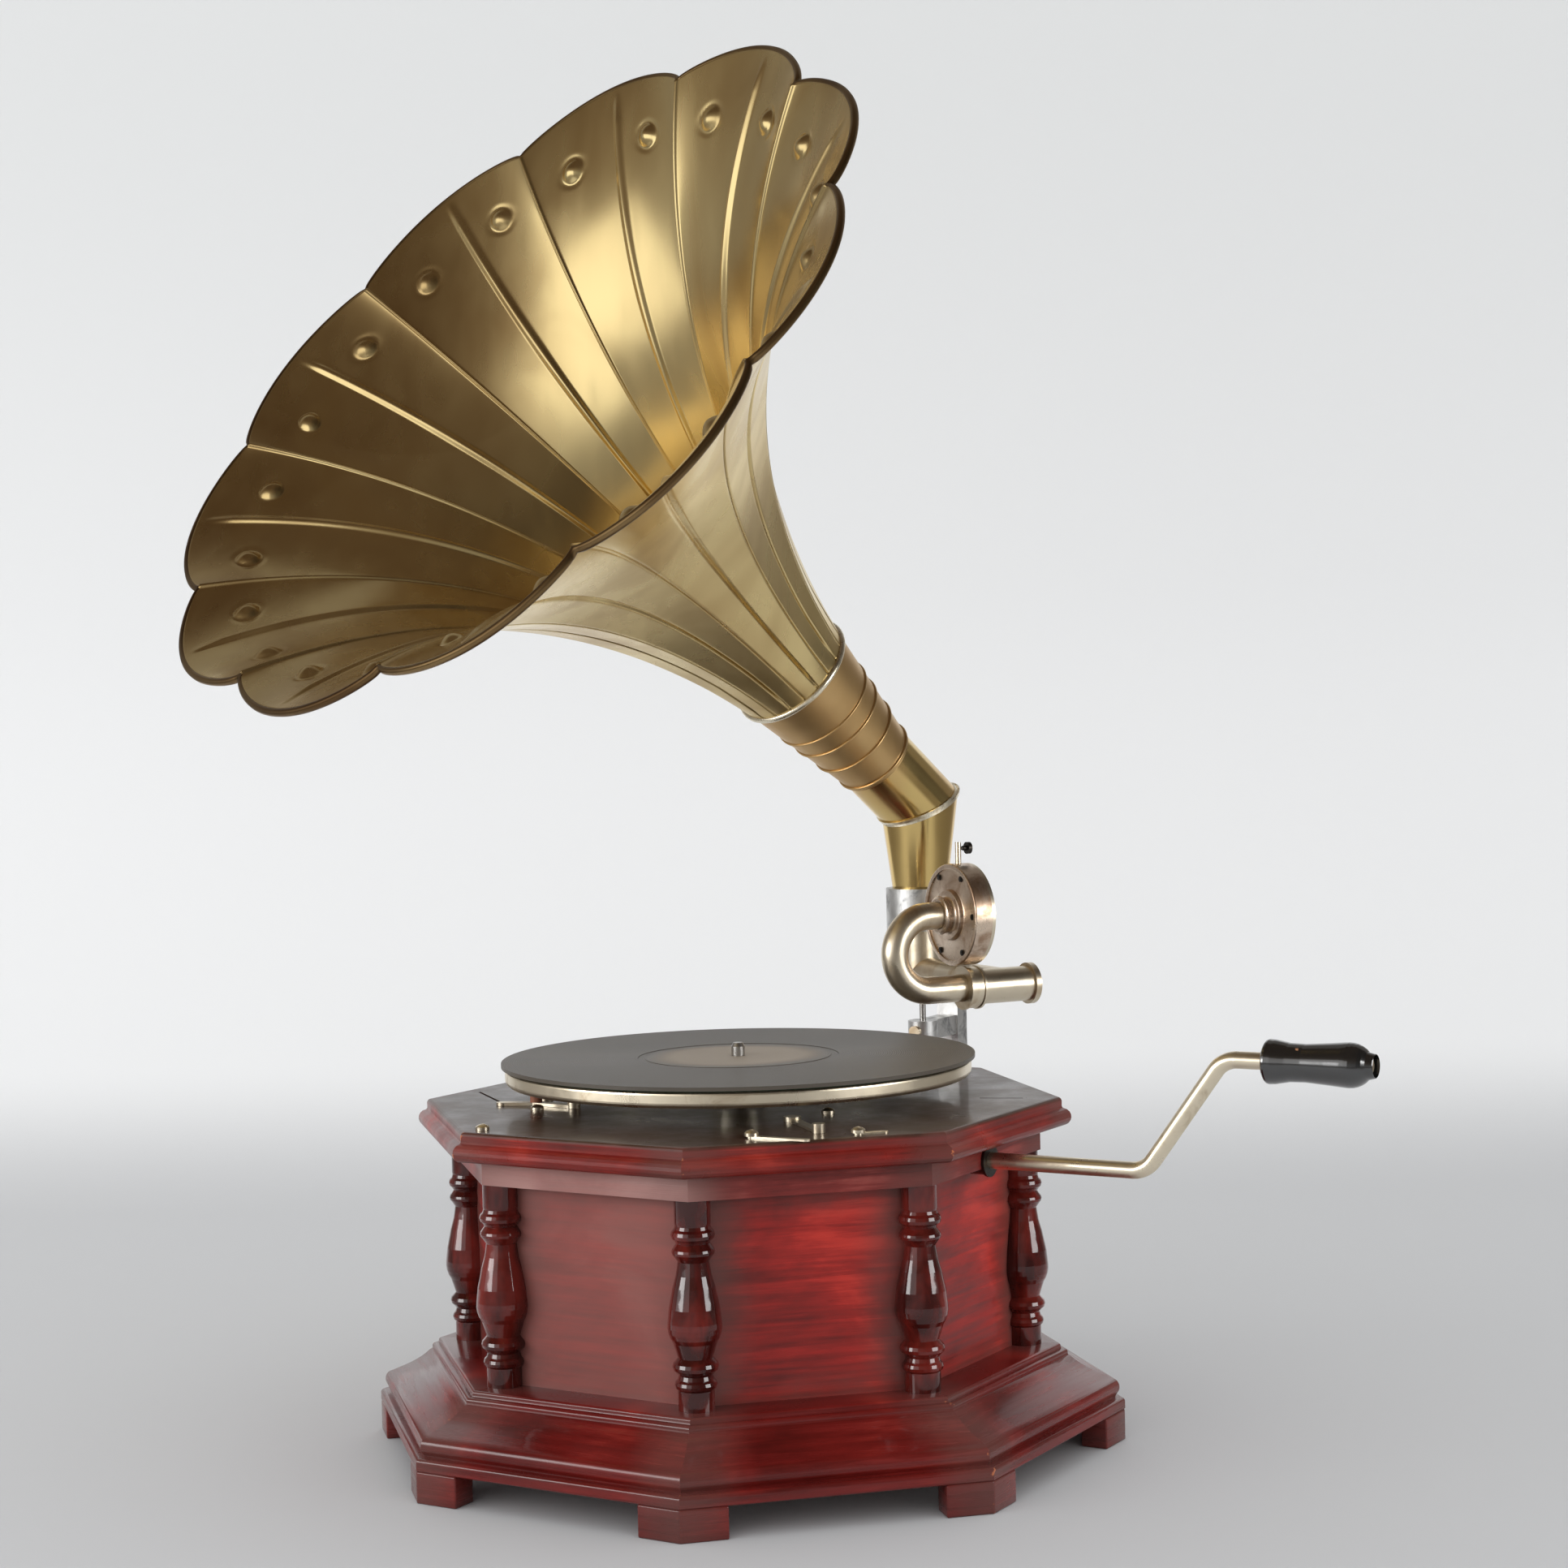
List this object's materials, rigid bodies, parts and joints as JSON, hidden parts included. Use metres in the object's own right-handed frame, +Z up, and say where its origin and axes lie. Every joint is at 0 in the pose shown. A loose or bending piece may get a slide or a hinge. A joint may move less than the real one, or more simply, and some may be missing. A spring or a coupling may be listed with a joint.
{
  "type": "horn gramophone",
  "caption": "Wind-up gramophone with an octagonal wooden case, turned corner columns, a turntable, a gooseneck tone arm and a fluted brass horn on a back bracket.",
  "frame": {"origin": "on the table plane that the eight feet stand on, in the middle of their ring, under the turntable's spindle", "axes": "+Z up along the spindle, -Y out of the front face, +X towards the crank"},
  "size_m": [0.6614, 0.4896, 0.7511],
  "materials": {
    "mahogany": "polished dark red-brown",
    "mahogany_dark": "polished, nearly black",
    "pine": "plain",
    "horn_brass": "aged, polished",
    "copper_band": "copper-coloured lacquer",
    "solder": "bright",
    "nickel": "worn nickel plate",
    "champagne": "satin nickel with brass showing",
    "zinc": "mottled grey casting",
    "steel": "oiled",
    "dark_steel": "blackened",
    "brass": "turned",
    "black_wood": "black lacquer, chipped",
    "shellac": "satin",
    "felt": "felt",
    "leather": "worn",
    "rubber": "soft",
    "mica": "thin sheet",
    "fibre": "layered fibre",
    "spring_steel": "blued"
  },
  "bodies": {
    "case": {"plinth": "mahogany", "bottom_board": "pine", "side_boards": "mahogany", "frieze": "mahogany", "top_board": "mahogany", "corner_columns": "mahogany_dark", "back_bracket": "zinc", "bracket_screws": "steel", "pivot_pin": "steel", "pin_screw": "nickel", "spindle_bush": "brass", "crank_bush": "dark_steel", "motor_bottom_plate": "steel", "motor_top_plate": "steel", "motor_pillars": "steel", "motor_hangers": "steel", "winding_bearing": "zinc", "governor_bearings": "zinc", "brake_screw": "nickel", "board_strips": "champagne", "board_screws": "nickel"},
    "turntable": {"platter": "champagne", "platter_felt": "felt", "record": "shellac", "spindle": "steel", "worm_wheel": "fibre"},
    "barrel": {"spring_barrel": "steel", "mainspring": "spring_steel"},
    "winding": {"winding_arbor": "steel"},
    "second": {"second_wheel": "brass"},
    "governor": {"governor_shaft": "steel", "governor_discs": "brass", "governor_springs": "spring_steel", "governor_weights": "zinc"},
    "crank": {"crank_rod": "champagne", "crank_end_nut": "brass"},
    "handle": {"crank_handle": "black_wood"},
    "horn": {"horn_elbow": "horn_brass", "horn_solder": "solder", "horn_throat": "copper_band", "horn_bell": "horn_brass"},
    "arm": {"arm_tube": "nickel", "arm_end_cap": "nickel"},
    "neck": {"gooseneck": "nickel"},
    "soundbox": {"soundbox_shell": "nickel", "soundbox_bezel": "nickel", "soundbox_gaskets": "rubber", "soundbox_diaphragm": "mica", "stylus_bar": "nickel", "needle_screw": "dark_steel", "soundbox_screws": "dark_steel"},
    "brake": {"brake_lever": "nickel", "brake_pad": "leather"},
    "speed": {"speed_lever": "nickel"}
  },
  "joints": [
    {"name": "turntable_spin", "type": "hinge", "parent": "case", "child": "turntable", "pos_m": [0, 0, 0.1938], "axis": [0, 0, 1], "continuous": true},
    {"name": "barrel_spin", "type": "hinge", "parent": "case", "child": "barrel", "pos_m": [0.062, 0, 0.1], "axis": [0, 0, 1], "continuous": true},
    {"name": "second_spin", "type": "hinge", "parent": "case", "child": "second", "pos_m": [0.02708, -0.02594, 0.11], "axis": [0, 0, 1], "continuous": true},
    {"name": "governor_spin", "type": "hinge", "parent": "case", "child": "governor", "pos_m": [-0.02, 0.0194, 0.0945], "axis": [1, 0, 0], "continuous": true},
    {"name": "crank_turn", "type": "hinge", "parent": "case", "child": "crank", "pos_m": [0.15, 0, 0.1575], "axis": [1, 0, 0], "continuous": true},
    {"name": "winding_spin", "type": "hinge", "parent": "case", "child": "winding", "pos_m": [0.062, 0, 0.1], "axis": [0, 0, 1], "continuous": true},
    {"name": "handle_spin", "type": "hinge", "parent": "crank", "child": "handle", "pos_m": [0.32, 0, 0.215], "axis": [1, 0, 0], "continuous": true},
    {"name": "horn_swivel", "type": "hinge", "parent": "case", "child": "horn", "pos_m": [0, 0.212, 0.281], "axis": [0, 0, 1], "range_deg": [-60, 60]},
    {"name": "tonearm_swing", "type": "hinge", "parent": "case", "child": "arm", "pos_m": [0, 0.212, 0.2293], "axis": [0, 0, 1], "range_deg": [-45, 15]},
    {"name": "gooseneck_flip", "type": "hinge", "parent": "arm", "child": "neck", "pos_m": [0.07692, 0.16337, 0.2293], "axis": [0.5344, 0.8453, 0], "range_deg": [0, 68]},
    {"name": "soundbox_turn", "type": "hinge", "parent": "neck", "child": "soundbox", "pos_m": [0.06276, 0.14097, 0.2713], "axis": [0.5344, 0.8453, 0], "range_deg": [0, 77]},
    {"name": "brake_swing", "type": "hinge", "parent": "case", "child": "brake", "pos_m": [-0.062, -0.066, 0.182], "axis": [0, 0, 1], "range_deg": [0, 8]},
    {"name": "speed_swing", "type": "hinge", "parent": "case", "child": "speed", "pos_m": [0.0706, -0.06357, 0.182], "axis": [0, 0, 1], "range_deg": [-10, 6]}
  ],
  "couplings": [
    {"joint": "barrel_spin", "follows": "turntable_spin", "ratio": 0.052083},
    {"joint": "second_spin", "follows": "turntable_spin", "ratio": -0.25},
    {"joint": "governor_spin", "follows": "turntable_spin", "ratio": 30},
    {"joint": "winding_spin", "follows": "crank_turn", "ratio": 0.33333}
  ]
}
